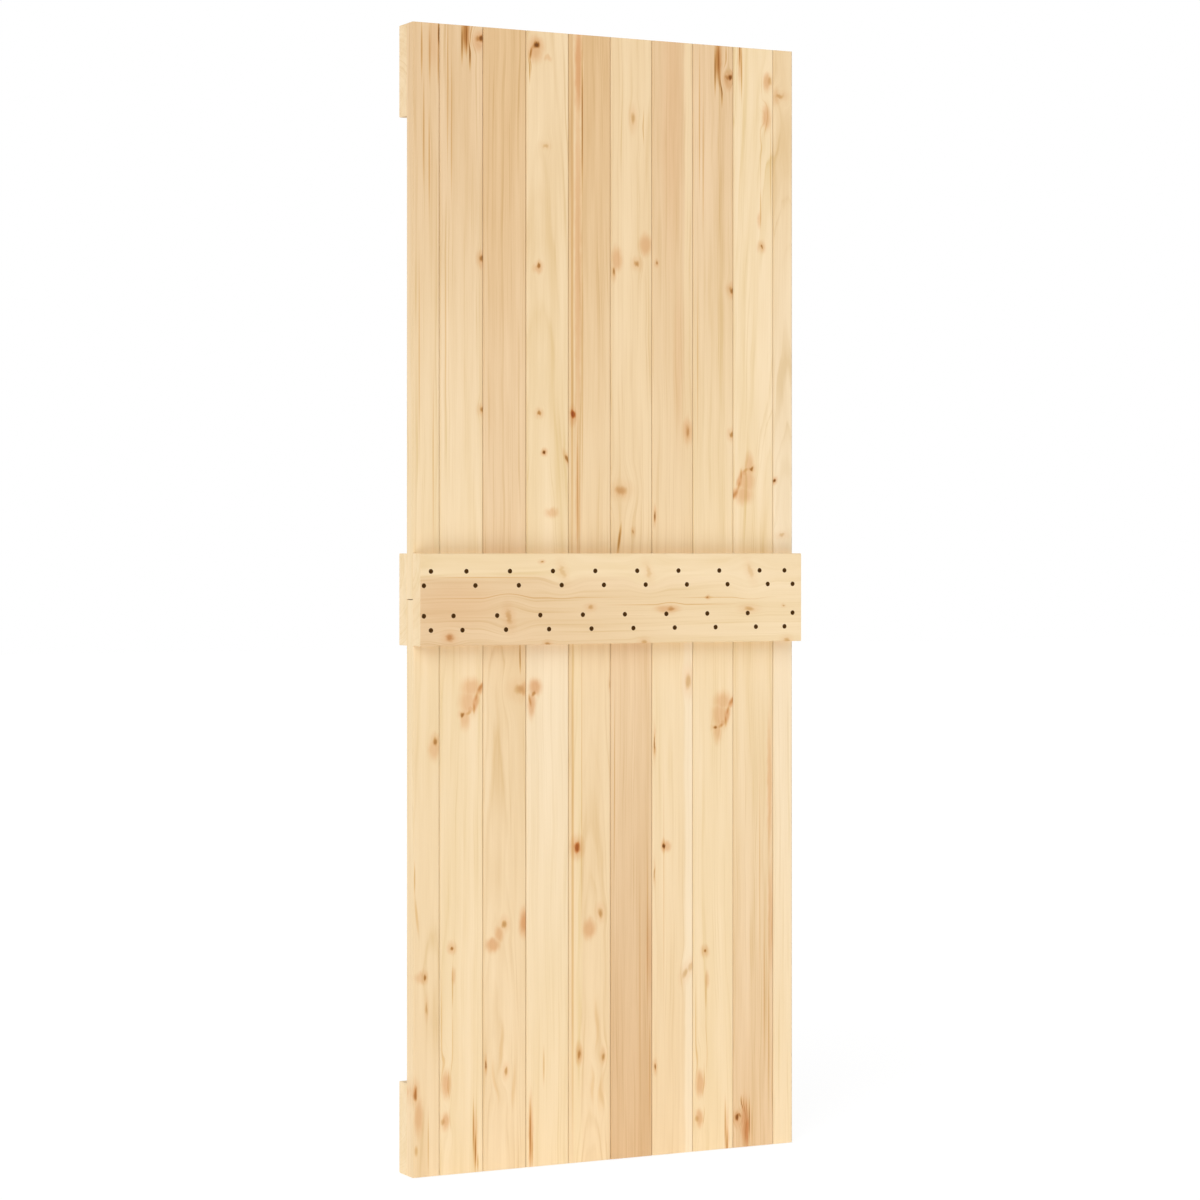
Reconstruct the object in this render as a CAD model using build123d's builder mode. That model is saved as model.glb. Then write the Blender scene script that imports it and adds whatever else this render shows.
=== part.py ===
from build123d import *
import os

# Plank sliding door leaf: tongued and grooved pine boards in an upper and a lower row, butted at
# mid-height and held by four rails, of which the front one is drilled for the screws that show.
# Frame: millimetres, X across the door, Y from front (-) to back (+), Z up. The origin is the middle
# of the back top rail's upper edge, where the leaf hangs.

# Overall size of the leaf
DOOR_WIDTH = 800
DOOR_HEIGHT = 2100

# Boards: face width that one board covers, thickness, and how far the layout sits right of centre
BOARD_COVER = 88
BOARD_THICKNESS = 27
LAYOUT_SHIFT = 5.5
FACE_GAP = 0.5
BUTT_GAP = 1.5

# Tongue and groove, and the chamfers that make the V-joint
TONGUE_LENGTH = 8
TONGUE_THICKNESS = 7
TONGUE_TIP_CHAMFER = 1.2
GROOVE_SIDE_CLEARANCE = 0.25
GROOVE_END_CLEARANCE = 1
FACE_CHAMFER = 1.6
BACK_CHAMFER = 0.8

# Rails across the boards
RAIL_HEIGHT = 168
RAIL_THICKNESS = 33
RAIL_CHAMFER = 1.5

# Screw holes of the front rail: countersunk, in two outer and two inner rows about its centre line
SHANK_RADIUS = 2.4
COUNTERSINK_RADIUS = 4.5
COUNTERSINK_ANGLE = 90
OUTER_ROW = 53.5
INNER_ROW = 27.5
OUTER_STEP = 4
INNER_STEP = 22
PATTERN_SHIFT = -9.5
PATTERN_DROP = 2
LEFT_END_INNER = 7
LEFT_END_OUTER = 21
RIGHT_END_INNER = 19
RIGHT_END_OUTER = 37

# Places that follow from the sizes above
LEFT_EDGE = -DOOR_WIDTH / 2
RIGHT_EDGE = DOOR_WIDTH / 2
BOARD_BACK_Y = -RAIL_THICKNESS / 2
BOARD_FRONT_Y = BOARD_BACK_Y - BOARD_THICKNESS
BOARD_MIDDLE_Y = (BOARD_FRONT_Y + BOARD_BACK_Y) / 2
MIDDLE_Z = -DOOR_HEIGHT / 2
BOARD_LENGTH = (DOOR_HEIGHT - BUTT_GAP) / 2
GROOVE_DEPTH = TONGUE_LENGTH + GROOVE_END_CLEARANCE
GROOVE_WIDTH = TONGUE_THICKNESS + 2 * GROOVE_SIDE_CLEARANCE


def board_joints():
    """X of every board's edges from left to right: whole boards between two ripped ones."""
    whole_boards = int(DOOR_WIDTH // BOARD_COVER) - 1
    ripped = (DOOR_WIDTH - whole_boards * BOARD_COVER) / 2
    first_joint = LEFT_EDGE + ripped + LAYOUT_SHIFT
    joints = [first_joint + i * BOARD_COVER for i in range(whole_boards + 1)]
    return [LEFT_EDGE, *joints, RIGHT_EDGE]


def screw_points():
    """Screw places on the front rail: across from the boards' edges, up from the rail's middle."""
    edges = board_joints()
    points = []
    for side in (1, -1):
        outer = side * OUTER_ROW - PATTERN_DROP
        inner = side * INNER_ROW - PATTERN_DROP
        points.append((edges[0] + LEFT_END_INNER, inner))
        points.append((edges[0] + LEFT_END_OUTER, outer))
        for left, right in zip(edges[1:-2], edges[2:-1]):
            middle = (left + right) / 2 + PATTERN_SHIFT
            points.append((middle + side * OUTER_STEP, outer))
            points.append((middle + side * INNER_STEP, inner))
        points.append((edges[-1] - RIGHT_END_OUTER, outer))
        points.append((edges[-1] - RIGHT_END_INNER, inner))
    return points


def save(part, label):
    """Names a finished piece and writes it as its own file."""
    part.label = label
    export_step(part, f"parts/{label}.step")


def make_board(label, left, right, base_z, grooved, tongued):
    """One board standing on base_z, with its groove on the left edge and its tongue on the right."""
    left_side = left + FACE_GAP / 2 if grooved else left
    right_side = right - FACE_GAP / 2 if tongued else right
    with BuildPart() as board:
        with BuildSketch(Plane.XY.offset(base_z)) as profile:
            with Locations(((left_side + right_side) / 2, BOARD_MIDDLE_Y)):
                Rectangle(right_side - left_side, BOARD_THICKNESS)
            chamfer(profile.vertices().group_by(Axis.Y)[0], FACE_CHAMFER)
            chamfer(profile.vertices().group_by(Axis.Y)[-1], BACK_CHAMFER)
            if tongued:
                with Locations((right_side, BOARD_MIDDLE_Y)):
                    Rectangle(2 * TONGUE_LENGTH, TONGUE_THICKNESS)
                chamfer(profile.vertices().group_by(Axis.X)[-1], TONGUE_TIP_CHAMFER)
            if grooved:
                with Locations((left_side, BOARD_MIDDLE_Y)):
                    Rectangle(2 * GROOVE_DEPTH, GROOVE_WIDTH, mode=Mode.SUBTRACT)
        extrude(amount=BOARD_LENGTH)
    save(board.part, label)


def make_rail(label, middle_z, inner_y, outward, screws=()):
    """One rail lying on the boards at inner_y, its outer face turned to outward along Y."""
    outer_y = inner_y + outward * RAIL_THICKNESS
    outer_face = Plane((0, outer_y, middle_z), x_dir=(-outward, 0, 0), z_dir=(0, outward, 0))
    with BuildPart() as rail:
        with BuildSketch(outer_face):
            Rectangle(DOOR_WIDTH, RAIL_HEIGHT)
        extrude(amount=-RAIL_THICKNESS)
        outer = rail.faces().sort_by(Axis.Y)[0 if outward < 0 else -1]
        chamfer(outer.edges().filter_by(Axis.X), RAIL_CHAMFER)
        if screws:
            with Locations(outer_face):
                with Locations(*screws):
                    CounterSinkHole(
                        SHANK_RADIUS,
                        COUNTERSINK_RADIUS,
                        depth=RAIL_THICKNESS,
                        counter_sink_angle=COUNTERSINK_ANGLE,
                    )
    save(rail.part, label)


os.makedirs("parts", exist_ok=True)

joints = board_joints()
last = len(joints) - 2
rows = {"upper": MIDDLE_Z + BUTT_GAP / 2, "lower": -DOOR_HEIGHT}
for row, base_z in rows.items():
    for i, (left, right) in enumerate(zip(joints, joints[1:])):
        make_board(f"{row}_board_{i + 1:02d}", left, right, base_z, grooved=i > 0, tongued=i < last)

make_rail("front_middle_rail", MIDDLE_Z, BOARD_FRONT_Y, outward=-1, screws=screw_points())
make_rail("back_middle_rail", MIDDLE_Z, BOARD_BACK_Y, outward=1)
make_rail("back_top_rail", -RAIL_HEIGHT / 2, BOARD_BACK_Y, outward=1)
make_rail("back_bottom_rail", RAIL_HEIGHT / 2 - DOOR_HEIGHT, BOARD_BACK_Y, outward=1)
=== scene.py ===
import math

import bmesh
import bpy
from mathutils import Matrix, Vector


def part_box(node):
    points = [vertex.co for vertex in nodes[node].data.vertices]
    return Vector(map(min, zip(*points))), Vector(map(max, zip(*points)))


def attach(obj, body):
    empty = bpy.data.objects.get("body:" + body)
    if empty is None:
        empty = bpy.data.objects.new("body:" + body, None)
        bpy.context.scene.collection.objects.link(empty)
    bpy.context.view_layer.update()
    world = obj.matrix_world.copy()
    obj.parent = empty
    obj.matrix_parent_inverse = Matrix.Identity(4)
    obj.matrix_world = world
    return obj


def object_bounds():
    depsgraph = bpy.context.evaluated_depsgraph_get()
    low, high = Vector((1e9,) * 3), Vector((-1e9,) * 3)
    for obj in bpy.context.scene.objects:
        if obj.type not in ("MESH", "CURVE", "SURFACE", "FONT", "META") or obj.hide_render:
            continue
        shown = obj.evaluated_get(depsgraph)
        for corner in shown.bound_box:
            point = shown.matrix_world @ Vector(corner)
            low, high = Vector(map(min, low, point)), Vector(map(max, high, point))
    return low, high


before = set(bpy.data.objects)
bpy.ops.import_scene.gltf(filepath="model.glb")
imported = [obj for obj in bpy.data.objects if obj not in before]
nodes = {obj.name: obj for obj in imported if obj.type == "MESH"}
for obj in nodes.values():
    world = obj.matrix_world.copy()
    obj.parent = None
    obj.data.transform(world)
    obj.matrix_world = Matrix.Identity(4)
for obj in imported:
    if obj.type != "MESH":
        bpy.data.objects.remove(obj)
cad_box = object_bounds()


# Boards
# Upright tongued and grooved boards of knotty pine, planed and left clear. Each was sawn from another
# place in the log, so each has its own tone, ring pattern, knots and resin streaks. The upper and lower
# rows butt at mid-height and are screwed to the rails from both sides.

# Millimetres in a metre
MM = 1000


def linear(hex_colour):
    """An sRGB hex colour as linear red, green, blue and alpha."""
    channels = [int(hex_colour[i:i + 2], 16) / 255 for i in (0, 2, 4)]
    return [c / 12.92 if c <= 0.04045 else ((c + 0.055) / 1.055) ** 2.4 for c in channels] + [1.0]


def add_node(tree, kind, inputs, **settings):
    """Adds a node with its settings, and links or sets its inputs."""
    node = tree.nodes.new(kind)
    for name, value in settings.items():
        setattr(node, name, value)
    for socket, value in inputs.items():
        if isinstance(value, bpy.types.NodeSocket):
            tree.links.new(value, node.inputs[socket])
        else:
            node.inputs[socket].default_value = value
    return node


def set_ramp(ramp, stops):
    """Gives a colour ramp its stops: places from 0 to 1 with hex colours."""
    elements = ramp.color_ramp.elements
    while len(elements) < len(stops):
        elements.new(1.0)
    for element, (place, colour) in zip(elements, stops):
        element.position = place
        element.color = linear(colour)


# Planed pine, left clear and matt. Earlywood is pale, latewood darker, and the rings round the pith show
# as lines or long arches on the faces and as arcs on the ends. Tones are (earlywood, latewood).
PINE_TONES = {
    "cream": ("FAE5C4", "EAD1A8"),
    "pale": ("F8E0BA", "E5C791"),
    "straw": ("F5DBB3", "DEBB87"),
    "wheat": ("F2D5AE", "DAB480"),
    "tan": ("EECFA7", "D4AD78"),
    "honey": ("EAC89B", "CEA36A"),
    "amber": ("E3C095", "C79B66"),
}
# Stains darken the wood under them: brown knots, peach to orange resin, and golden brown streaks
KNOT_STAIN = [(0.0, "FFFFFF"), (0.3, "EFE3CF"), (0.55, "D4BB92"), (0.8, "AC8C5C"), (1.0, "84653C")]
RESIN_STAIN = [(0.0, "FFFFFF"), (0.3, "F7EADF"), (0.55, "EDD2BE"), (0.8, "DDA778"), (1.0, "B06E40")]
STREAK_STAIN = [(0.0, "FFFFFF"), (0.3, "F2E4CE"), (0.6, "DBC092"), (0.85, "B6945C"), (1.0, "8D6B3C")]
# A light grey laid on the slanting sides of the V-joints: painted shade in the grooves
JOINT_PAINTED_SHADE = "EEEEEB"
HALO_SPREAD = 2.3
HALO_SHARE = 0.45
# The grain bows out round a knot: how far across and along, and how hard, in multiples of its half sizes
BOW_WIDTH = 4
BOW_LENGTH = 3
BOW_PUSH = 3.4
# Sizes of the patterns in the wood, in millimetres: across the face, through it and along the grain
ENDLESS = 1e6
CURL_SIZE = (26, 26, 60)
WANDER_SIZE = (ENDLESS, ENDLESS, 380)
WANDER_REACH = 16
RIPPLE_SIZE = (20, 20, 210)
RIPPLE_REACH = 5.0
YEARS_SIZE = 22
YEARS_REACH = 40.0
RING_FADE_SIZE = (9, 1, 240)
COARSE_SIZE = (18, 18, 520)
FIBRE_SIZE = (1.6, 1.6, 90)
CLOUD_SIZE = (45, 45, 340)
SWAY_SIZE = (60, 60, 160)
SWAY_REACH = 14
FRAY_SIZE = (8, 8, 24)
FRAY_REACH = (6, 0, 14)
# How dark the grain is between its rings, and how much the latewood of a ring adds
GRAIN_BASE = 0.25
RING_STRENGTH = 0.7


def strongest(tree, place, marks, inner, outer):
    """The strongest of some oval marks at a place. Each is full within inner radii and gone beyond outer."""
    total = None
    for across, along, half_width, half_length, strength, *slant in marks:
        local = add_node(tree, "ShaderNodeMapping", {
            "Vector": place,
            "Location": (across, 0, along),
            "Rotation": (0, math.radians(slant[0]) if slant else 0, 0),
            "Scale": (half_width, ENDLESS, half_length),
        }, vector_type="TEXTURE")
        reach = add_node(tree, "ShaderNodeVectorMath", {0: local.outputs[0]}, operation="LENGTH")
        mark = add_node(tree, "ShaderNodeMapRange", {
            "Value": reach.outputs["Value"], "From Min": outer, "From Max": inner, "To Max": strength,
        }, interpolation_type="SMOOTHSTEP")
        if total:
            mark = add_node(tree, "ShaderNodeMath", {0: total, 1: mark.outputs[0]}, operation="MAXIMUM")
        total = mark.outputs[0]
    return total


def scaled(tree, place, periods, shift=(0, 0, 0)):
    """A place measured in pattern periods instead of millimetres."""
    return add_node(tree, "ShaderNodeVectorMath", {
        0: place, 1: [1 / p for p in periods], 2: shift}, operation="MULTIPLY_ADD").outputs[0]


def pine(name, origin, length, tones, pith, lean=0.0, ring=5.0, seed=0.0, contrast=1.0, turned=False,
         painted_light_ends=None, stripes=(), curls=(), knots=(), resin=(), streaks=()):
    """Solid pine round its own pith. Millimetres: across the face, through it, and along the grain."""
    material = bpy.data.materials.new(name)
    material.use_nodes = True
    tree = material.node_tree
    tree.nodes.clear()

    frame_place = add_node(tree, "ShaderNodeTexCoord", {})
    place = add_node(tree, "ShaderNodeMapping", {
        "Vector": frame_place.outputs["Object"],
        "Location": (origin[2], -origin[1], -origin[0]) if turned else [-c for c in origin],
        "Rotation": (0, math.radians(-90) if turned else 0, 0),
        "Scale": (MM, MM, MM),
    }).outputs[0]

    # The grain bows round each knot
    flow = place
    for across, along, half_width, half_length, *_ in knots:
        local = add_node(tree, "ShaderNodeMapping", {
            "Vector": place, "Location": (across, 0, along),
            "Scale": (BOW_WIDTH * half_width, ENDLESS, BOW_LENGTH * (half_width + half_length)),
        }, vector_type="TEXTURE")
        reach = add_node(tree, "ShaderNodeVectorMath", {0: local.outputs[0]}, operation="LENGTH")
        pull = add_node(tree, "ShaderNodeMapRange", {
            "Value": reach.outputs["Value"], "From Min": 1.0, "From Max": 0.0,
        }, interpolation_type="SMOOTHSTEP")
        shift = add_node(tree, "ShaderNodeVectorMath", {
            0: local.outputs[0], 1: (-BOW_PUSH * half_width, 0, 0)}, operation="MULTIPLY")
        shift = add_node(tree, "ShaderNodeVectorMath", {
            0: shift.outputs[0], "Scale": pull.outputs[0]}, operation="SCALE")
        flow = add_node(tree, "ShaderNodeVectorMath", {0: flow, 1: shift.outputs[0]}).outputs[0]

    # Beside some knots the grain grew wild, in short waves, and a curl's strength sets their height
    if curls:
        wild = strongest(tree, place, curls, 0.3, 1.2)
        waves = add_node(tree, "ShaderNodeTexNoise", {
            "Vector": scaled(tree, place, CURL_SIZE, (seed, seed, 0)), "Scale": 1.0, "Detail": 0.0})
        waves = add_node(tree, "ShaderNodeVectorMath", {
            0: waves.outputs["Color"], 1: (1, 0, 0), 2: (-0.5, 0, 0)}, operation="MULTIPLY_ADD")
        waves = add_node(tree, "ShaderNodeVectorMath", {
            0: waves.outputs[0], "Scale": wild}, operation="SCALE")
        flow = add_node(tree, "ShaderNodeVectorMath", {0: flow, 1: waves.outputs[0]}).outputs[0]

    # Distance from the pith, which leans and wanders along the piece
    parts = add_node(tree, "ShaderNodeSeparateXYZ", {0: flow})
    wander = add_node(tree, "ShaderNodeTexNoise", {
        "Vector": scaled(tree, flow, WANDER_SIZE, (seed, 0, 0)), "Scale": 1.0, "Detail": 2.0})
    wander = add_node(tree, "ShaderNodeVectorMath", {
        0: wander.outputs["Color"], 1: (WANDER_REACH, WANDER_REACH, 0),
        2: (pith[0] - WANDER_REACH / 2, pith[1] - WANDER_REACH / 2, 0),
    }, operation="MULTIPLY_ADD")
    rise = add_node(tree, "ShaderNodeMath", {0: parts.outputs[2], 1: lean}, operation="MULTIPLY")
    centre = add_node(tree, "ShaderNodeCombineXYZ", {1: rise.outputs[0]})
    centre = add_node(tree, "ShaderNodeVectorMath", {0: centre.outputs[0], 1: wander.outputs[0]})
    section = add_node(tree, "ShaderNodeCombineXYZ", {0: parts.outputs[0], 1: parts.outputs[1]})
    radius = add_node(tree, "ShaderNodeVectorMath", {
        0: section.outputs[0], 1: centre.outputs[0]}, operation="DISTANCE")
    ripple = add_node(tree, "ShaderNodeTexNoise", {
        "Vector": scaled(tree, flow, RIPPLE_SIZE, (seed, 0, seed)), "Scale": 1.0, "Detail": 3.0})
    radius = add_node(tree, "ShaderNodeMath", {
        0: ripple.outputs[0], 1: RIPPLE_REACH, 2: radius.outputs["Value"],
    }, operation="MULTIPLY_ADD").outputs[0]

    # Rings of uneven width that fade in and out, broader bands, fibres and slow clouds of colour
    years = add_node(tree, "ShaderNodeTexNoise", {
        "W": add_node(tree, "ShaderNodeMath", {
            0: radius, 1: 1 / YEARS_SIZE, 2: seed}, operation="MULTIPLY_ADD").outputs[0],
        "Scale": 1.0, "Detail": 3.0, "Roughness": 0.6,
    }, noise_dimensions="1D")
    uneven = add_node(tree, "ShaderNodeMath", {
        0: years.outputs[0], 1: YEARS_REACH, 2: radius}, operation="MULTIPLY_ADD")
    count = add_node(tree, "ShaderNodeMath", {0: uneven.outputs[0], 1: ring}, operation="DIVIDE")
    part = add_node(tree, "ShaderNodeMath", {0: count.outputs[0]}, operation="FRACT")
    late = add_node(tree, "ShaderNodeValToRGB", {"Fac": part.outputs[0]})
    set_ramp(late, [(0.0, "606060"), (0.15, "000000"), (0.5, "303030"), (0.85, "FFFFFF"), (1.0, "606060")])
    ring_place = add_node(tree, "ShaderNodeCombineXYZ", {0: radius, 2: parts.outputs[2]})
    fading = add_node(tree, "ShaderNodeTexNoise", {
        "Vector": scaled(tree, ring_place.outputs[0], RING_FADE_SIZE, (seed, 0, seed)),
        "Scale": 1.0, "Detail": 1.0})
    strength = add_node(tree, "ShaderNodeMapRange", {
        "Value": fading.outputs[0], "From Min": 0.4, "From Max": 0.75, "To Max": RING_STRENGTH * contrast})
    grain = add_node(tree, "ShaderNodeMath", {
        0: late.outputs[0], 1: strength.outputs[0], 2: GRAIN_BASE}, operation="MULTIPLY_ADD")
    coarse = add_node(tree, "ShaderNodeTexNoise", {
        "Vector": scaled(tree, flow, COARSE_SIZE, (seed, 0, 0)),
        "Scale": 1.0, "Detail": 5.0, "Roughness": 0.62})
    fibre = add_node(tree, "ShaderNodeTexNoise", {
        "Vector": scaled(tree, flow, FIBRE_SIZE, (seed, 0, 0)), "Scale": 1.0, "Detail": 2.0})
    clouds = add_node(tree, "ShaderNodeTexNoise", {
        "Vector": scaled(tree, flow, CLOUD_SIZE, (0, seed, 0)), "Scale": 1.0, "Detail": 2.0})
    for noise, amount in ((years, 0.35), (coarse, 1.0), (fibre, 0.3), (clouds, 0.6)):
        centred = add_node(tree, "ShaderNodeMath", {0: noise.outputs[0], 1: 0.5}, operation="SUBTRACT")
        grain = add_node(tree, "ShaderNodeMath", {
            0: centred.outputs[0], 1: amount * contrast, 2: grain.outputs[0]}, operation="MULTIPLY_ADD")

    # The tone shifts from one end to the other, and sapwood or heartwood may run along in a stripe
    swaying = add_node(tree, "ShaderNodeTexNoise", {
        "Vector": scaled(tree, flow, SWAY_SIZE, (seed, seed, 0)), "Scale": 1.0, "Detail": 3.0})
    swaying = add_node(tree, "ShaderNodeVectorMath", {
        0: swaying.outputs["Color"], 1: (SWAY_REACH, 0, 0), 2: (-SWAY_REACH / 2, 0, 0),
    }, operation="MULTIPLY_ADD")
    swayed_flow = add_node(tree, "ShaderNodeVectorMath", {0: flow, 1: swaying.outputs[0]}).outputs[0]
    height = add_node(tree, "ShaderNodeMapRange", {
        "Value": add_node(tree, "ShaderNodeSeparateXYZ", {0: place}).outputs[2],
        "From Min": length[0], "From Max": length[1]}, interpolation_type="SMOOTHSTEP")
    layers = [(tones[1], height.outputs[0])]
    for middle, half_width, tone, softness in stripes:
        stripe = [(middle, 0, half_width, ENDLESS, 1.0)]
        layers.append((tone, strongest(tree, swayed_flow, stripe, 1 - softness, 1 + softness)))
    facing = add_node(tree, "ShaderNodeVectorMath", {0: frame_place.outputs["Normal"]}, operation="ABSOLUTE")
    facing = add_node(tree, "ShaderNodeSeparateXYZ", {0: facing.outputs[0]})
    # Where asked, the sawn ends, whose faces cross the grain, take a paler tone: painted light, as where the
    # light from the left falls on them
    if painted_light_ends:
        layers.append((painted_light_ends, facing.outputs[0 if turned else 2]))
    colour = add_node(tree, "ShaderNodeValToRGB", {"Fac": grain.outputs[0]})
    set_ramp(colour, list(zip((0.0, 1.0), PINE_TONES[tones[0]])))
    colour = colour.outputs[0]
    for tone, share in layers:
        layer = add_node(tree, "ShaderNodeValToRGB", {"Fac": grain.outputs[0]})
        set_ramp(layer, list(zip((0.0, 1.0), PINE_TONES[tone])))
        colour = add_node(tree, "ShaderNodeMix", {
            "Factor": share, "A": colour, "B": layer.outputs[0]}, data_type="RGBA").outputs["Result"]

    # Knots with peach haloes, resin patches and streaks, their edges frayed along the grain
    fray = add_node(tree, "ShaderNodeTexNoise", {
        "Vector": scaled(tree, place, FRAY_SIZE, (0, 0, seed)), "Scale": 1.0, "Detail": 3.0})
    frayed = add_node(tree, "ShaderNodeVectorMath", {
        0: fray.outputs["Color"], 1: FRAY_REACH, 2: [-reach / 2 for reach in FRAY_REACH],
    }, operation="MULTIPLY_ADD")
    frayed = add_node(tree, "ShaderNodeVectorMath", {0: place, 1: frayed.outputs[0]}).outputs[0]
    haloes = [
        (across, along, HALO_SPREAD * half_width, HALO_SPREAD * half_length, HALO_SHARE * strength, *slant)
        for across, along, half_width, half_length, strength, *slant in knots]
    for marks, stain, spot, inner, outer in (
            (list(resin) + haloes, RESIN_STAIN, frayed, 0.3, 1.3),
            (streaks, STREAK_STAIN, flow, 0.2, 1.2),
            (knots, KNOT_STAIN, frayed, 0.3, 1.2)):
        if marks:
            share = strongest(tree, spot, marks, inner, outer)
            layer = add_node(tree, "ShaderNodeValToRGB", {"Fac": share})
            set_ramp(layer, stain)
            colour = add_node(tree, "ShaderNodeMix", {
                "Factor": 1.0, "A": colour, "B": layer.outputs[0],
            }, data_type="RGBA", blend_type="MULTIPLY").outputs["Result"]

    # The sides of the V-joints, which slant at 45 degrees, are toned a little grey as painted shade in the
    # grooves, so that the joints look as dark as in the photo. The two parts of such a side's normal
    # multiply to a half, hence the doubling.
    slant = add_node(tree, "ShaderNodeMath", {
        0: facing.outputs[0], 1: facing.outputs[1]}, operation="MULTIPLY")
    slant = add_node(tree, "ShaderNodeMath", {
        0: slant.outputs[0], 1: 2.0}, operation="MULTIPLY", use_clamp=True)
    colour = add_node(tree, "ShaderNodeMix", {
        "Factor": slant.outputs[0], "A": colour, "B": linear(JOINT_PAINTED_SHADE),
    }, data_type="RGBA", blend_type="MULTIPLY").outputs["Result"]

    relief = add_node(tree, "ShaderNodeMath", {0: fibre.outputs[0], 1: late.outputs[0]}, operation="ADD")
    bump = add_node(tree, "ShaderNodeBump", {
        "Height": relief.outputs[0], "Strength": 0.05, "Distance": 0.0004})
    shader = add_node(tree, "ShaderNodeBsdfPrincipled", {
        "Base Color": colour, "Roughness": 0.6, "IOR": 1.45, "Specular IOR Level": 0.25,
        "Normal": bump.outputs[0]})
    add_node(tree, "ShaderNodeOutputMaterial", {"Surface": shader.outputs[0]})
    return material


# Places on a board are millimetres right of its middle and above the door's foot. A mark is (across, along,
# half width, half length, strength, slant in degrees), and a stripe is (across, half width, tone, softness).
# Three boards look as if sawn from one plank, so they share its marks.
FLAME_PLANK = dict(
    curls=[(-30, 140, 18, 120, 34)],
    knots=[(-2, 839, 5, 5, 0.75), (-24, 414, 3.5, 4, 0.7), (-42, 97, 5, 8, 0.35)],
    resin=[(15, 888, 23, 21, 0.45), (9, 862, 21, 30, 0.45), (3, 834, 12, 28, 0.42),
           (33, 886, 9, 15, 0.58, 30), (24, 862, 8, 20, 0.6, 12), (14, 848, 8, 8, 0.55),
           (-24, 414, 11, 13, 0.35), (-19, 362, 5, 18, 0.35), (-35, 165, 11, 28, 0.5),
           (-36, 98, 9, 20, 0.5), (24, 60, 5, 60, 0.35)],
    streaks=[(35, 889, 4, 13, 0.45, 38), (26, 872, 3, 11, 0.4, 15), (21, 850, 3, 12, 0.45),
             (8, 842, 4, 9, 0.4, 70), (20, 80, 1.8, 62, 0.65), (24, 40, 2.2, 40, 0.75),
             (29, 17, 1.6, 22, 0.6), (-44, 260, 1.5, 120, 0.35), (-22, 340, 1.6, 44, 0.45),
             (-29, 100, 1.6, 24, 0.4), (-29, 168, 1.6, 40, 0.35), (-22, 230, 1.4, 80, 0.3)])


def from_plank(plank, across, along, turn=1):
    """A plank's marks moved along its length, or turned end for end."""
    return {kind: [(across + turn * mark[0], along + turn * mark[1], *mark[2:]) for mark in marks]
            for kind, marks in plank.items()}


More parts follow.
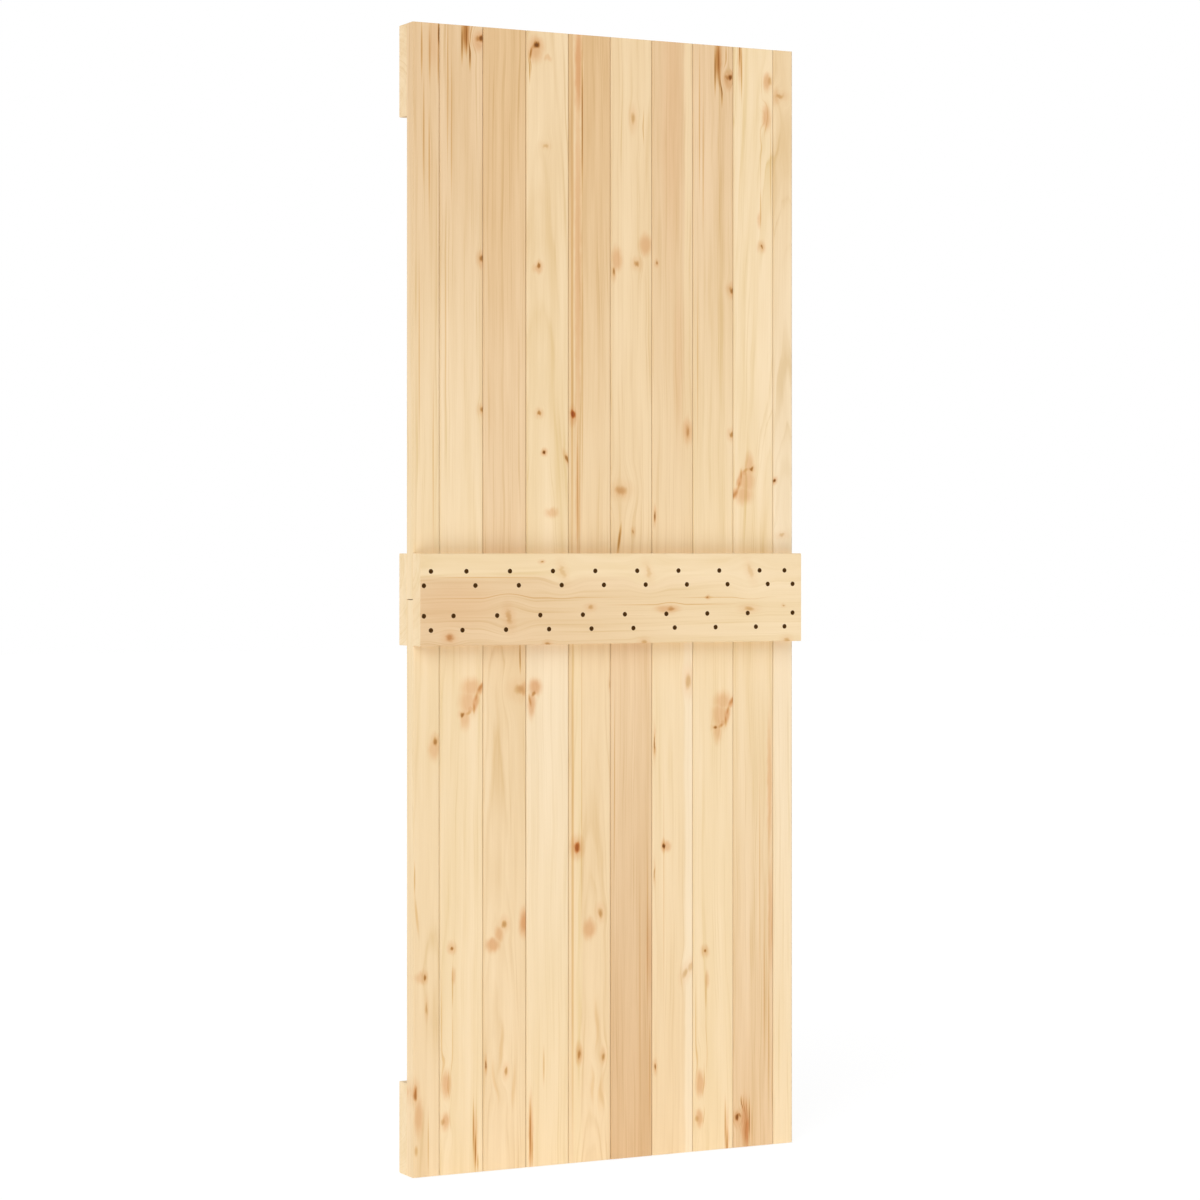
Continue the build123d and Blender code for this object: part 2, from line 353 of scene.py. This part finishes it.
UPPER_BOARDS = [
    dict(tones=("pale", "tan"), pith=(-70, 40), ring=7.0,
         resin=[(12, 2070, 14, 60, 0.2)],
         streaks=[(21, 2080, 2.4, 34, 1.0), (20, 2030, 1.5, 50, 0.6), (-13, 2050, 2, 60, 0.6),
                  (-9, 1900, 1.8, 110, 0.5), (2, 1850, 1.8, 110, 0.45), (3, 2040, 1.8, 60, 0.5),
                  (-18, 1500, 1.5, 220, 0.35), (10, 1300, 1.5, 200, 0.3)]),
    dict(tones=("pale", "tan"), pith=(-75, 50), ring=8.0, contrast=1.1,
         knots=[(35, 2079, 6, 7, 0.9), (29, 2078, 6, 6, 0.5), (38, 1674, 6, 7, 0.7),
                (38, 1398, 5.5, 6, 0.6)],
         resin=[(6, 2088, 9, 36, 0.4), (30, 2072, 13, 20, 0.38), (38, 1668, 8, 14, 0.3)],
         streaks=[(4, 2086, 9, 40, 0.65), (-3, 2070, 2.4, 44, 0.85), (6, 2080, 2.4, 40, 0.9),
                  (13, 2050, 2.4, 34, 0.95), (19, 2086, 2, 24, 0.6), (-32, 1988, 1.6, 170, 0.4),
                  (-24, 1908, 1.6, 150, 0.4), (-36, 1538, 1.5, 200, 0.3)]),
    dict(tones=("wheat", "honey"), pith=(-120, 30), ring=6.0, contrast=0.9),
    dict(tones=("pale", "straw"), pith=(-20, 32), lean=0.03, ring=7.0, contrast=1.15,
         knots=[(-27, 2073, 8, 8, 1.0), (-8, 1890, 6, 4, 0.3), (-22, 1666, 5, 5, 0.7),
                (-21, 1394, 5, 5, 0.6), (-11, 1321, 3.6, 4, 1.0), (36, 1310, 3, 9, 0.7, -25)],
         resin=[(-30, 2066, 18, 28, 0.45), (-4, 2052, 10, 7, 0.3), (5, 1209, 16, 11, 0.4),
                (-24, 1662, 12, 12, 0.4)],
         streaks=[(-34, 2058, 2.5, 16, 0.75, 18), (-41, 2030, 1.8, 30, 0.65), (-38, 2044, 1.5, 24, 0.55)]),
    dict(tones=("straw", "honey"), pith=(110, 20), ring=6.0, contrast=0.9,
         stripes=[(-29, 9, "straw", 0.2)],
         resin=[(-28, 2040, 9, 120, 0.62), (-29, 1700, 8, 420, 0.4), (-39, 1392, 8, 11, 1.0),
                (-38, 1390, 12, 22, 0.4), (-29, 1240, 6, 140, 0.3)],
         streaks=[(-41, 1575, 3.5, 600, 0.38), (-20, 1940, 1.8, 170, 0.85), (-20, 1500, 1.5, 300, 0.4),
                  (-30, 1250, 1.6, 140, 0.5)]),
    dict(tones=("straw", "straw"), pith=(60, 45), lean=-0.01, ring=9.0, contrast=0.85,
         curls=[(8, 1930, 22, 80, 18)],
         knots=[(-1, 1950, 5, 14, 0.4), (-41, 1664, 3, 9, 0.65), (7, 1678, 6, 7, 0.5),
                (-27, 1253, 14, 9, 0.35), (-1, 1174, 2.5, 5, 0.5)],
         resin=[(26, 1714, 16, 22, 0.45), (-35, 1686, 13, 26, 0.45), (-27, 1252, 18, 16, 0.35)],
         streaks=[(-30, 1160, 3.5, 34, 0.75, 8), (22, 1935, 1.6, 40, 0.4)]),
    dict(tones=("straw", "tan"), pith=(-100, 40), ring=8.0, contrast=0.7,
         stripes=[(32, 11, "straw", 0.2)],
         knots=[(-38, 1681, 2.5, 4, 0.6), (-42, 1204, 2, 10, 0.8), (28, 1364, 4, 13, 0.45)],
         resin=[(28, 1364, 13, 26, 0.4), (-6, 1950, 26, 300, 0.15), (8, 1500, 12, 160, 0.15)]),
    dict(tones=("pale", "tan"), pith=(-70, 50), ring=7.0,
         knots=[(33, 2041, 6, 7, 0.9), (27, 2040, 6, 6, 0.5), (36, 1636, 6, 7, 0.7),
                (36, 1360, 5.5, 6, 0.6)],
         resin=[(8, 2074, 8, 40, 0.4), (29, 2034, 13, 20, 0.38), (36, 1630, 8, 14, 0.3)],
         streaks=[(5, 2072, 8, 46, 0.6), (0, 2054, 2.4, 52, 0.85), (8, 2070, 2.2, 46, 0.85),
                  (15, 2020, 2.2, 38, 0.95), (11, 2040, 2, 36, 0.8), (24, 2080, 1.8, 26, 0.5),
                  (-34, 1950, 1.6, 170, 0.4), (-26, 1870, 1.6, 150, 0.4), (-38, 1500, 1.5, 200, 0.3)]),
    dict(tones=("pale", "pale"), pith=(40, 36), lean=0.03, ring=7.0, contrast=1.15,
         **from_plank(FLAME_PLANK, -10, 2135, turn=-1)),
    dict(tones=("cream", "straw"), pith=(10, 34), lean=0.035, ring=7.0, contrast=1.2,
         curls=[(-8, 1960, 24, 120, 34), (-5, 1190, 24, 60, 26)],
         knots=[(-19, 1275, 3.4, 4, 1.0), (-7, 2012, 10, 5, 0.4), (-2, 1169, 8, 4, 0.3)],
         resin=[(-14, 2010, 9, 18, 0.3)]),
]
LOWER_BOARDS = [
    dict(tones=("straw", "pale"), pith=(10, 50), lean=0.015, ring=9.0,
         knots=[(14, 790, 6, 8, 0.65), (-7, 364, 3.5, 6, 0.7), (-3, 306, 2, 12, 0.4),
                (-25, 152, 4, 14, 0.6)],
         resin=[(12, 778, 14, 24, 0.4), (-15, 362, 14, 12, 0.35), (-26, 154, 6, 18, 0.6),
                (-19, 110, 10, 40, 0.42)],
         streaks=[(0, 60, 1.5, 70, 0.4), (-24, 48, 4, 12, 0.4), (-27, 542, 1.6, 36, 0.5),
                  (-23, 475, 3.5, 44, 0.3, -6)]),
    dict(tones=("pale", "pale"), pith=(-60, 60), lean=-0.01, ring=9.0, **FLAME_PLANK),
    dict(tones=("straw", "straw"), pith=(-20, 55), lean=0.015, ring=8.0,
         curls=[(-12, 150, 30, 110, 30)],
         knots=[(26, 882, 13, 11, 0.35), (-5, 450, 6, 8, 0.5), (-2, 181, 4, 8, 0.5),
                (-43, 195, 1.5, 9, 0.8)],
         resin=[(36, 452, 13, 30, 0.65), (-29, 414, 17, 16, 0.55), (-16, 434, 12, 18, 0.45),
                (34, 884, 16, 16, 0.4)],
         streaks=[(27, 945, 1.6, 34, 0.85), (-11, 225, 5, 54, 0.2, 3), (-24, 165, 6, 50, 0.2, -4),
                  (14, 150, 6, 50, 0.2, 4)]),
    dict(tones=("pale", "cream"), pith=(90, 40), ring=8.0, contrast=0.8,
         knots=[(-33, 874, 5, 5, 0.55)],
         resin=[(-30, 886, 16, 20, 0.6), (-37, 856, 10, 30, 0.55), (-39, 60, 6, 80, 0.45)],
         streaks=[(-12, 185, 2.5, 40, 0.35), (-38, 862, 3, 14, 0.5), (-40, 60, 2.5, 70, 0.7),
                  (-36, 30, 1.6, 40, 0.5)]),
    dict(tones=("straw", "straw"), pith=(0, 50), lean=0.015, ring=8.0,
         curls=[(14, 160, 26, 120, 30)],
         stripes=[(-31, 10, "pale", 0.2)],
         knots=[(18, 463, 6, 10, 0.5), (-26, 202, 3.5, 10, 0.55), (24, 195, 3.5, 8, 0.5),
                (40, 890, 3, 10, 0.4)],
         resin=[(-31, 588, 10, 14, 1.0), (-31, 588, 16, 24, 0.45), (-5, 434, 16, 22, 0.5),
                (-26, 202, 9, 24, 0.4)],
         streaks=[(-40, 525, 3.5, 600, 0.38), (-21, 700, 1.2, 380, 0.3), (10, 255, 5, 54, 0.2, -3),
                  (0, 140, 6, 46, 0.2, -5), (22, 130, 6, 46, 0.2, 5)]),
    dict(tones=("amber", "wheat"), pith=(100, 20), ring=6.0, contrast=0.9,
         resin=[(36, 380, 9, 100, 0.2)],
         streaks=[(14, 300, 1.5, 260, 0.35), (30, 420, 1.5, 200, 0.4), (35, 160, 2, 120, 0.4),
                  (-40, 700, 1.5, 200, 0.4)]),
    dict(tones=("straw", "pale"), pith=(-80, 50), ring=8.0, contrast=0.7,
         stripes=[(33, 11, "cream", 0.3)],
         knots=[(29, 892, 7, 16, 0.4), (-23, 581, 3, 6, 1.0), (23, 339, 6, 12, 0.36, 22),
                (35, 353, 6, 13, 0.3, 28), (-43, 775, 1.5, 20, 0.75), (-43, 532, 1.2, 14, 0.6),
                (-41, 166, 2.5, 8, 0.75)],
         resin=[(-17, 581, 11, 12, 0.45)],
         streaks=[(-23, 500, 1.2, 280, 0.3)]),
    dict(tones=("pale", "pale"), pith=(60, 60), lean=-0.01, ring=9.0, contrast=0.8,
         **from_plank(FLAME_PLANK, 2, -36)),
    dict(tones=("tan", "pale"), pith=(80, 40), ring=7.0, contrast=1.1,
         knots=[(-40, 57, 5, 8, 0.9), (-35, 60, 5, 5, 0.5)],
         resin=[(-23, 46, 11, 54, 0.56), (-18, 30, 5, 44, 0.72), (-36, 55, 8, 20, 0.35),
                (32, 690, 6, 150, 0.4), (34, 440, 6, 120, 0.35)],
         streaks=[(-31, 82, 1.6, 20, 0.85), (-26, 66, 1.4, 34, 0.7), (-19, 58, 1.4, 38, 0.6),
                  (-13, 52, 1.6, 48, 0.8), (-22, 30, 1.3, 30, 0.6), (-7, 40, 1.4, 44, 0.4),
                  (20, 300, 1.6, 180, 0.4), (30, 220, 1.6, 160, 0.4), (10, 520, 1.5, 240, 0.3)]),
    dict(tones=("pale", "cream"), pith=(-60, 40), ring=8.0, contrast=1.0),
]

DOOR_HEIGHT = 2100
BUTT_JOINT = 1050
UPPER_SEED = 0
LOWER_SEED = 50
BOARD_SEED_STEP = 3.7
rows = (
    ("upper", UPPER_BOARDS, (BUTT_JOINT, DOOR_HEIGHT), UPPER_SEED),
    ("lower", LOWER_BOARDS, (0, BUTT_JOINT), LOWER_SEED),
)
for row, boards, length, first_seed in rows:
    for i, grain in enumerate(boards):
        node = f"{row}_board_{i + 1:02d}"
        low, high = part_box(node)
        middle = (low + high) / 2 * MM
        foot = (middle.x, middle.y, -DOOR_HEIGHT)
        wood = pine(f"knotty_pine_{node}", foot, length, seed=first_seed + BOARD_SEED_STEP * i, **grain)
        nodes[node].data.materials.clear()
        nodes[node].data.materials.append(wood)


# Rails
# Four wide rails of the same pine run across the boards, one on the front at mid-height and three on the
# back. The front rail is countersunk for two screws into every board end, in staggered rows.

# Places on a rail are millimetres below its middle line and right of the door's middle
RAILS = {
    "front_middle_rail": dict(
        # Its sawn ends take the pale tone: painted light, as on ends lit from the left
        tones=("tan", "pale"), painted_light_ends="pale", pith=(-70, 50), lean=0.02, ring=10.0, contrast=0.8,
        stripes=[(-66, 26, "pale", 0.3)],
        knots=[(-69, -155, 2.5, 4, 0.6), (-1, 196, 2.5, 2.5, 0.6), (16, 361, 2, 3, 0.45),
               (20, 115, 5, 8, 0.45), (16, -54, 4, 7, 0.4), (21, 285, 5, 12, 0.4),
               (32, -223, 15, 7, 0.36, -12), (69, -342, 8, 9, 0.42), (83, -143, 4, 5, 0.5),
               (82, 58, 5, 7, 0.4), (82, 368, 5, 7, 0.4), (-50, -112, 14, 6, 0.22, -20),
               (-50, 68, 14, 6, 0.22, -20), (-50, 288, 16, 6, 0.22, -20)],
        resin=[(20, 108, 9, 30, 0.42), (69, -342, 11, 14, 0.5), (10, -330, 50, 90, 0.12)],
        streaks=[(-40, -260, 1.5, 140, 0.3), (-2, -200, 1.5, 220, 0.35), (12, 120, 1.5, 160, 0.35),
                 (-1, 240, 1.2, 120, 0.35)]),
    "back_middle_rail": dict(tones=("pale", "straw"), pith=(-60, 50), lean=-0.01, ring=8.0,
                             knots=[(30, -210, 8, 10, 0.6), (-40, 150, 6, 9, 0.55), (10, 320, 4, 6, 0.7)]),
    "back_top_rail": dict(tones=("straw", "pale"), pith=(70, 45), lean=0.01, ring=8.0,
                          knots=[(-20, -60, 7, 9, 0.65), (35, 260, 5, 8, 0.5), (-50, -330, 4, 7, 0.6)]),
    "back_bottom_rail": dict(tones=("pale", "pale"), pith=(-50, 55), lean=0.01, ring=8.0,
                             knots=[(15, 90, 8, 11, 0.6), (-35, -270, 6, 9, 0.6)]),
}
HALF_WIDTH = 400
FIRST_RAIL_SEED = 120
RAIL_SEED_STEP = 5.3
for i, (node, grain) in enumerate(RAILS.items()):
    low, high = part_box(node)
    middle = (low + high) / 2 * MM
    seed = FIRST_RAIL_SEED + RAIL_SEED_STEP * i
    wood = pine(f"knotty_pine_{node}", middle, (-HALF_WIDTH, HALF_WIDTH), seed=seed, turned=True, **grain)
    nodes[node].data.materials.clear()
    nodes[node].data.materials.append(wood)


# Screws
# Browned steel screws with countersunk cross-recessed heads. Two hold each end of every board to the front
# rail, sunk just under its face, and two hold it to the top or bottom rail from the back.

# Millimetres, with the depth of the neck and the shank from the head's face
HEAD_RADIUS = 4.46
HEAD_SEGMENTS = 20
HEAD_DEPTH = 1.8
SHANK_RADIUS = 2.0
SHANK_LENGTH = 6.0
RECESS_REACH = 2.3
RECESS_HALF_WIDTH = 0.5
RECESS_DEPTH = 1.3
RECESS_TAPER = 0.6
# Each screw was driven home at another angle, in degrees, and a cross looks the same after a quarter turn
DRIVEN_TURN = 37
QUARTER_TURN = 90


def screw_mesh(name):
    """One screw head with its recess and the top of its shank, facing -Y, its face at the origin."""
    shape = bmesh.new()
    bmesh.ops.create_circle(shape, cap_ends=True, segments=HEAD_SEGMENTS, radius=HEAD_RADIUS)
    for axis in (0, 1):
        for cut in (-RECESS_REACH, -RECESS_HALF_WIDTH, RECESS_HALF_WIDTH, RECESS_REACH):
            point = Vector((0, 0, 0))
            normal = Vector((0, 0, 0))
            point[axis], normal[axis] = cut, 1
            bmesh.ops.bisect_plane(shape, geom=shape.verts[:] + shape.edges[:] + shape.faces[:],
                                   plane_co=point, plane_no=normal)
    rim = [e for e in shape.edges if e.is_boundary]
    cross = []
    for face in shape.faces:
        spot = face.calc_center_median()
        near, far = sorted((abs(spot.x), abs(spot.y)))
        if near < RECESS_HALF_WIDTH and far < RECESS_REACH:
            cross.append(face)
    floor_faces = bmesh.ops.extrude_face_region(shape, geom=cross)["geom"]
    bmesh.ops.delete(shape, geom=cross, context="FACES_ONLY")
    floor_points = [v for v in floor_faces if isinstance(v, bmesh.types.BMVert)]
    bmesh.ops.translate(shape, verts=floor_points, vec=(0, 0, -RECESS_DEPTH))
    bmesh.ops.scale(shape, verts=floor_points, vec=(RECESS_TAPER, RECESS_TAPER, 1))
    neck = (SHANK_RADIUS / HEAD_RADIUS, HEAD_DEPTH)
    shank = (1, SHANK_LENGTH - HEAD_DEPTH)
    for shrink, depth in (neck, shank):
        ring = bmesh.ops.extrude_edge_only(shape, edges=rim)["geom"]
        points = [v for v in ring if isinstance(v, bmesh.types.BMVert)]
        rim = [e for e in ring if isinstance(e, bmesh.types.BMEdge)]
        bmesh.ops.scale(shape, verts=points, vec=(shrink, shrink, 1))
        bmesh.ops.translate(shape, verts=points, vec=(0, 0, -depth))
    bmesh.ops.contextual_create(shape, geom=rim)
    bmesh.ops.recalc_face_normals(shape, faces=shape.faces)
    upright = Matrix.Rotation(math.radians(90), 3, "X")
    bmesh.ops.rotate(shape, verts=shape.verts, cent=(0, 0, 0), matrix=upright)
    mesh = bpy.data.meshes.new(name)
    shape.to_mesh(mesh)
    shape.free()
    return mesh


def add_screws(name, places, backwards):
    """One piece of like screws: places are millimetres, turned to face the back where asked."""
    single = screw_mesh(f"{name}_single")
    shape = bmesh.new()
    for k, place in enumerate(places):
        before = len(shape.verts)
        shape.from_mesh(single)
        shape.verts.ensure_lookup_table()
        points = shape.verts[before:]
        turn = Matrix.Rotation(math.radians(DRIVEN_TURN * k % QUARTER_TURN), 3, "Y")
        if backwards:
            turn = Matrix.Rotation(math.radians(180), 3, "Z") @ turn
        bmesh.ops.rotate(shape, verts=points, cent=(0, 0, 0), matrix=turn)
        bmesh.ops.translate(shape, verts=points, vec=place)
    bmesh.ops.scale(shape, verts=shape.verts, vec=(1 / MM, 1 / MM, 1 / MM))
    mesh = bpy.data.meshes.new(name)
    shape.to_mesh(mesh)
    shape.free()
    bpy.data.meshes.remove(single)
    mesh.materials.append(browned_steel)
    piece = bpy.data.objects.new(name, mesh)
    bpy.context.scene.collection.objects.link(piece)
    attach(piece, "root")


# Browned steel: an oxide finish, matt dark brown and a little uneven
SPECKLE_SIZE = 0.8
browned_steel = bpy.data.materials.new("browned_steel")
browned_steel.use_nodes = True
tree = browned_steel.node_tree
tree.nodes.clear()
place = add_node(tree, "ShaderNodeTexCoord", {})
speckle = add_node(tree, "ShaderNodeTexNoise", {
    "Vector": place.outputs["Object"], "Scale": MM / SPECKLE_SIZE, "Detail": 3.0})
colour = add_node(tree, "ShaderNodeValToRGB", {"Fac": speckle.outputs[0]})
set_ramp(colour, [(0.35, "40270A"), (0.7, "5C3C15")])
shader = add_node(tree, "ShaderNodeBsdfPrincipled", {
    "Base Color": colour.outputs[0], "Roughness": 0.7, "Specular IOR Level": 0.1})
add_node(tree, "ShaderNodeOutputMaterial", {"Surface": shader.outputs[0]})

# Eight whole boards stand between two narrower ones, a little right of the door's middle
WHOLE_BOARDS = 8
BOARD_WIDTH = 88
LAYOUT_SHIFT = 5.5
board_middles = [LAYOUT_SHIFT + BOARD_WIDTH * (k - (WHOLE_BOARDS - 1) / 2) for k in range(WHOLE_BOARDS)]

# The front rail's rows follow the boards, an outer and an inner row each side of the boards' butt joint.
# In the narrower boards the screws are set by their distance from the rail's ends.
FRONT_SINK = 0.02
OUTER_ROW = 53.5
INNER_ROW = 27.5
ROW_DROP = 2.0
OUTER_STEP = 4
INNER_STEP = 22
PATTERN_SHIFT = -9.5
LEFT_END_OUTER = 21
LEFT_END_INNER = 7
RIGHT_END_OUTER = 37
RIGHT_END_INNER = 19
low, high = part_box("front_middle_rail")
front_y = low.y * MM + FRONT_SINK
middle_z = (low.z + high.z) / 2 * MM
front_places = []
for side in (1, -1):
    outer_z = middle_z + side * OUTER_ROW - ROW_DROP
    inner_z = middle_z + side * INNER_ROW - ROW_DROP
    front_places += [(-HALF_WIDTH + LEFT_END_OUTER, front_y, outer_z),
                     (-HALF_WIDTH + LEFT_END_INNER, front_y, inner_z)]
    for middle in board_middles:
        front_places += [(middle + PATTERN_SHIFT + side * OUTER_STEP, front_y, outer_z),
                         (middle + PATTERN_SHIFT + side * INNER_STEP, front_y, inner_z)]
    front_places += [(HALF_WIDTH - RIGHT_END_OUTER, front_y, outer_z),
                     (HALF_WIDTH - RIGHT_END_INNER, front_y, inner_z)]
add_screws("front_rail_screws", front_places, backwards=False)

# On the back, two rows with one screw a board in each, close to the middle in the narrower boards
BACK_PROUD = 0.05
BACK_ROW = 42.0
BACK_STEP = 20.0
NARROW_STEP = 10.0
LEFT_BOARD_MIDDLE = -HALF_WIDTH + 27
RIGHT_BOARD_MIDDLE = HALF_WIDTH - 21
for rail in ("back_top_rail", "back_bottom_rail"):
    low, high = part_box(rail)
    back_y = high.y * MM + BACK_PROUD
    middle_z = (low.z + high.z) / 2 * MM
    places = []
    for side in (1, -1):
        for middle in [LEFT_BOARD_MIDDLE, *board_middles, RIGHT_BOARD_MIDDLE]:
            step = BACK_STEP if middle in board_middles else NARROW_STEP
            places.append((middle + side * step, back_y, middle_z + side * BACK_ROW))
    add_screws(f"{rail}_screws", places, backwards=True)


# Floor and light
# A white studio floor under the leaf, even light from all round, and two wide soft lamps on the left, one
# above and one below the leaf's middle. The lower one shines up through the floor as through a light table.

def seen_share(tree):
    """1 for what is seen straight, in a reflection or through glass, and 0 for what only gives light."""
    rays = add_node(tree, "ShaderNodeLightPath", {})
    seen = add_node(tree, "ShaderNodeMath", {
        0: rays.outputs["Is Camera Ray"], 1: rays.outputs["Is Glossy Ray"]}, operation="MAXIMUM")
    return add_node(tree, "ShaderNodeMath", {
        0: seen.outputs[0], 1: rays.outputs["Is Transmission Ray"]}, operation="MAXIMUM").outputs[0]


FLOOR_SIZE = 60.0
FLOOR_DROP = 0.002
floor_mesh = bpy.data.meshes.new("studio_floor")
shape = bmesh.new()
bmesh.ops.create_grid(shape, x_segments=1, y_segments=1, size=FLOOR_SIZE / 2)
bmesh.ops.translate(shape, verts=shape.verts, vec=(0, 0, cad_box[0].z - FLOOR_DROP))
shape.to_mesh(floor_mesh)
shape.free()
floor = bpy.data.objects.new("studio_floor", floor_mesh)
floor.visible_shadow = False
bpy.context.scene.collection.objects.link(floor)

# White floor: matt and glowing, so that to the eye it runs into the white all round, with hardly a shadow
paper = bpy.data.materials.new("white_studio_floor")
paper.use_nodes = True
tree = paper.node_tree
tree.nodes.clear()
shaded = add_node(tree, "ShaderNodeBsdfDiffuse", {"Color": linear("F2F2F2")})
faint = add_node(tree, "ShaderNodeBsdfDiffuse", {"Color": linear("8C8C8C")})
white = add_node(tree, "ShaderNodeEmission", {"Color": linear("FFFFFF"), "Strength": 0.85})
bright = add_node(tree, "ShaderNodeAddShader", {0: faint.outputs[0], 1: white.outputs[0]})
surface = add_node(tree, "ShaderNodeMixShader", {
    0: seen_share(tree), 1: shaded.outputs[0], 2: bright.outputs[0]})
add_node(tree, "ShaderNodeOutputMaterial", {"Surface": surface.outputs[0]})
floor_mesh.materials.append(paper)

ROOM_LIGHT = 0.47
world = bpy.data.worlds.new("white_studio")
bpy.context.scene.world = world
world.use_nodes = True
tree = world.node_tree
tree.nodes.clear()
light = add_node(tree, "ShaderNodeBackground", {"Color": linear("FFFFFF"), "Strength": ROOM_LIGHT})
white = add_node(tree, "ShaderNodeBackground", {"Color": linear("FFFFFF"), "Strength": 1.0})
mixed = add_node(tree, "ShaderNodeMixShader", {
    0: seen_share(tree), 1: light.outputs[0], 2: white.outputs[0]})
add_node(tree, "ShaderNodeOutputWorld", {"Surface": mixed.outputs[0]})

LAMP_TURN = math.radians(45)
LAMP_LOFT = math.radians(30)
LAMP_SPREAD = math.radians(40)
LAMP_STRENGTH = 1.31
for name, loft in (("high_lamp", LAMP_LOFT), ("low_lamp", -LAMP_LOFT)):
    lamp_data = bpy.data.lights.new(name, "SUN")
    lamp_data.energy = LAMP_STRENGTH
    lamp_data.angle = LAMP_SPREAD
    lamp = bpy.data.objects.new(name, lamp_data)
    lamp.rotation_euler = (math.radians(90) - loft, 0, -LAMP_TURN)
    bpy.context.scene.collection.objects.link(lamp)


# Camera
# Level, left of the door and a little above its middle, with a long lens. Sizes in metres and pixels.

IMAGE_SIZE = 1200
FOCAL_PIXELS = 3354
HORIZON_BELOW_TOP = 551
SENSOR_WIDTH = 36.0
CAMERA_PLACE = (-2.9044, -5.6040, -0.9616)
VIEW_TURN = math.radians(27.44)
camera_data = bpy.data.cameras.new("camera")
camera_data.sensor_width = SENSOR_WIDTH
camera_data.lens = FOCAL_PIXELS / IMAGE_SIZE * SENSOR_WIDTH
camera_data.shift_y = (HORIZON_BELOW_TOP - IMAGE_SIZE / 2) / IMAGE_SIZE
camera = bpy.data.objects.new("camera", camera_data)
camera.location = CAMERA_PLACE
camera.rotation_euler = (math.radians(90), 0, -VIEW_TURN)
bpy.context.scene.collection.objects.link(camera)
bpy.context.scene.camera = camera
bpy.context.scene.view_settings.view_transform = "Standard"
